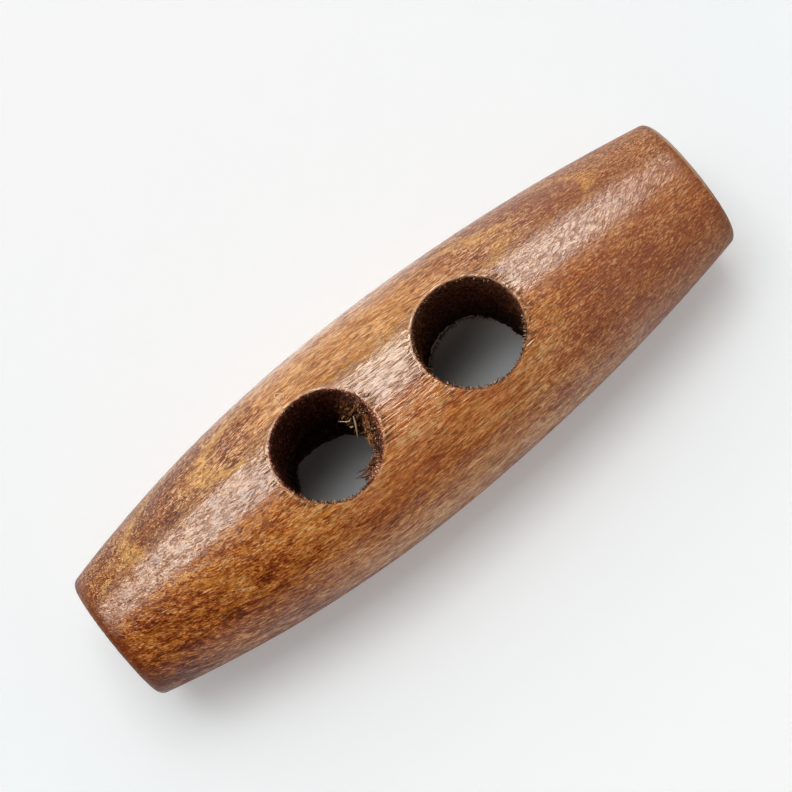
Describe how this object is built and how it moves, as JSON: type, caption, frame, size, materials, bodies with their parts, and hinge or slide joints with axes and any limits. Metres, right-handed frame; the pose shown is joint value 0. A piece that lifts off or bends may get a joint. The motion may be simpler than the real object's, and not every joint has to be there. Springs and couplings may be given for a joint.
{
  "type": "toggle button",
  "caption": "Barrel-shaped turned wooden toggle button with through holes for cord or thread, stained and satin lacquered.",
  "frame": {"origin": "middle of the bar on its turning axis, which is the centre of its bounding box", "axes": "+X along the bar from the end nearer the belly to the other end, +Z along both drilled holes"},
  "size_m": [0.04, 0.0124, 0.0124],
  "materials": {
    "stained_wood": "warm brown stain under satin lacquer, grain along the bar"
  },
  "bodies": {
    "root": {"toggle_body": "stained_wood"}
  },
  "joints": []
}
